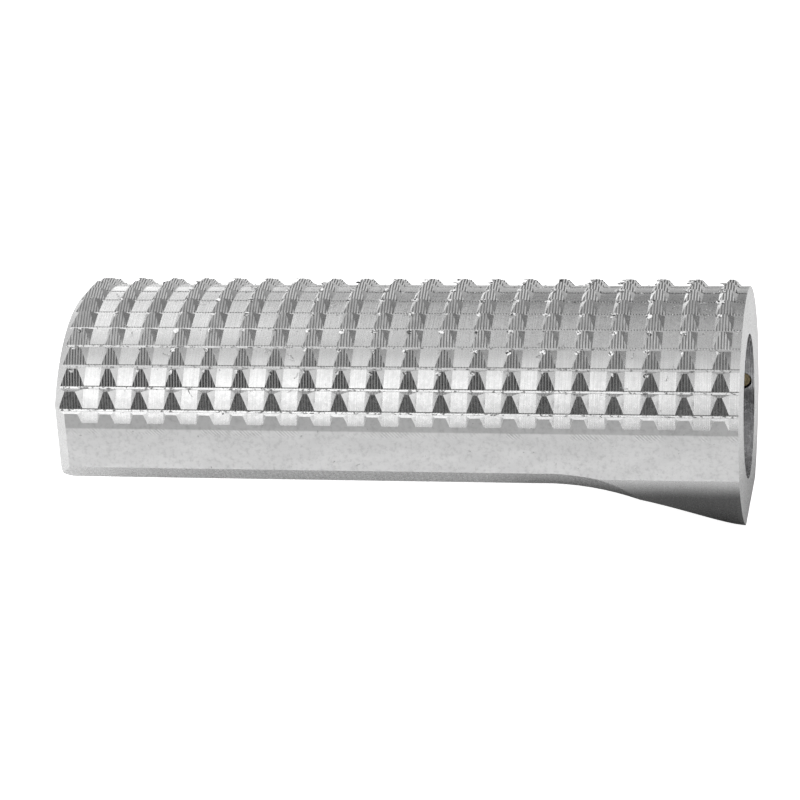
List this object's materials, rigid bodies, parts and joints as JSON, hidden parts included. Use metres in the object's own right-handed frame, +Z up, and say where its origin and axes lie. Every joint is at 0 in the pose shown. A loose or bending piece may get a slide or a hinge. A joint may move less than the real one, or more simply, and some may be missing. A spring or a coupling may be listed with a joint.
{
  "type": "motorcycle foot peg",
  "caption": "Milled billet foot peg with a ring-grooved, stepped tread, flat sides and a swept-down round end with a recess and threaded insert for its mount.",
  "frame": {"origin": "centre of the mount recess, in the mount face", "axes": "+X out of the mount face along the peg, the peg runs towards -X; +Z up through the crown of the tread; +Y to the side of the lock screw"},
  "size_m": [0.1025, 0.0408, 0.0343],
  "materials": {
    "billet": "bare as-machined aluminium with fine tool marks",
    "ring_steel": "turned bright steel",
    "hardened_steel": "ground hardened steel",
    "seal_rubber": "matt black nitrile rubber",
    "insert_steel": "passivated stainless steel",
    "black_steel": "black oxide alloy steel",
    "tip_brass": "plain brass"
  },
  "bodies": {
    "peg": {"peg_body": "billet", "register_ring": "ring_steel", "seat_washer": "hardened_steel", "bonded_seal": "seal_rubber", "thread_insert": "insert_steel", "insert_keys": "insert_steel", "washer_pins": "hardened_steel"},
    "lock": {"lock_screw": "black_steel", "lock_tip": "tip_brass"}
  },
  "joints": [
    {"name": "lock_screw_travel", "type": "slide", "parent": "peg", "child": "lock", "axis": [0, -1, 0], "range_m": [-0.002, 0.0009]}
  ]
}
